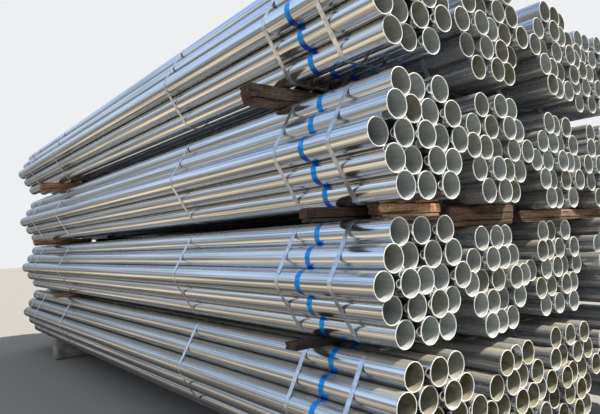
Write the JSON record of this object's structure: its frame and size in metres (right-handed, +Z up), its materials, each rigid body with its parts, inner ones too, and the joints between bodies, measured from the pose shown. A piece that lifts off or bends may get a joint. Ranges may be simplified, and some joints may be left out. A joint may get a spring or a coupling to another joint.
{
  "type": "stack of steel tubes",
  "caption": "Yard stack of strapped hexagonal bundles of galvanised steel tubes, laid in layers with timbers between them, on bearers.",
  "frame": {"origin": "on the floor, at the middle of the box round the stack", "axes": "+X along the tubes, out of the ends that face the viewer; +Y across the stack, away from its open long side; +Z up"},
  "size_m": [6.171, 2.533, 2.418],
  "materials": {
    "galvanised_steel": "hot-dip galvanised, smooth and bright",
    "strap_steel": "flat rolled strapping, satin grey",
    "weathered_timber": "sawn, weathered dark",
    "concrete": "cast, worn edges"
  },
  "bodies": {
    "root": {"tubes_layer1_column1": "galvanised_steel", "tubes_layer1_column2": "galvanised_steel", "tubes_layer1_column3": "galvanised_steel", "tubes_layer1_column4": "galvanised_steel", "tubes_layer2_column1": "galvanised_steel", "tubes_layer2_column2": "galvanised_steel", "tubes_layer2_column3": "galvanised_steel", "tubes_layer2_column4": "galvanised_steel", "tubes_layer3_column1": "galvanised_steel", "tubes_layer3_column2": "galvanised_steel", "tubes_layer3_column3": "galvanised_steel", "tubes_layer3_column4": "galvanised_steel", "tubes_layer4_column1": "galvanised_steel", "tubes_layer4_column2": "galvanised_steel", "tubes_layer4_column3": "galvanised_steel", "tubes_layer4_column4": "galvanised_steel", "straps_layer1_column1": "strap_steel", "straps_layer1_column2": "strap_steel", "straps_layer1_column3": "strap_steel", "straps_layer1_column4": "strap_steel", "straps_layer2_column1": "strap_steel", "straps_layer2_column2": "strap_steel", "straps_layer2_column3": "strap_steel", "straps_layer2_column4": "strap_steel", "straps_layer3_column1": "strap_steel", "straps_layer3_column2": "strap_steel", "straps_layer3_column3": "strap_steel", "straps_layer3_column4": "strap_steel", "straps_layer4_column1": "strap_steel", "straps_layer4_column2": "strap_steel", "straps_layer4_column3": "strap_steel", "straps_layer4_column4": "strap_steel", "timbers_under_layer2_column1": "weathered_timber", "timbers_under_layer2_column2": "weathered_timber", "timbers_under_layer2_other_columns": "weathered_timber", "timbers_under_layer3_column1": "weathered_timber", "timbers_under_layer3_column2": "weathered_timber", "timbers_under_layer3_other_columns": "weathered_timber", "timbers_under_layer4_column1": "weathered_timber", "timbers_under_layer4_column2": "weathered_timber", "timbers_under_layer4_other_columns": "weathered_timber", "short_timber_under_layer3": "weathered_timber", "sleepers_other_columns": "weathered_timber", "bearers_column1": "concrete"}
  },
  "joints": []
}
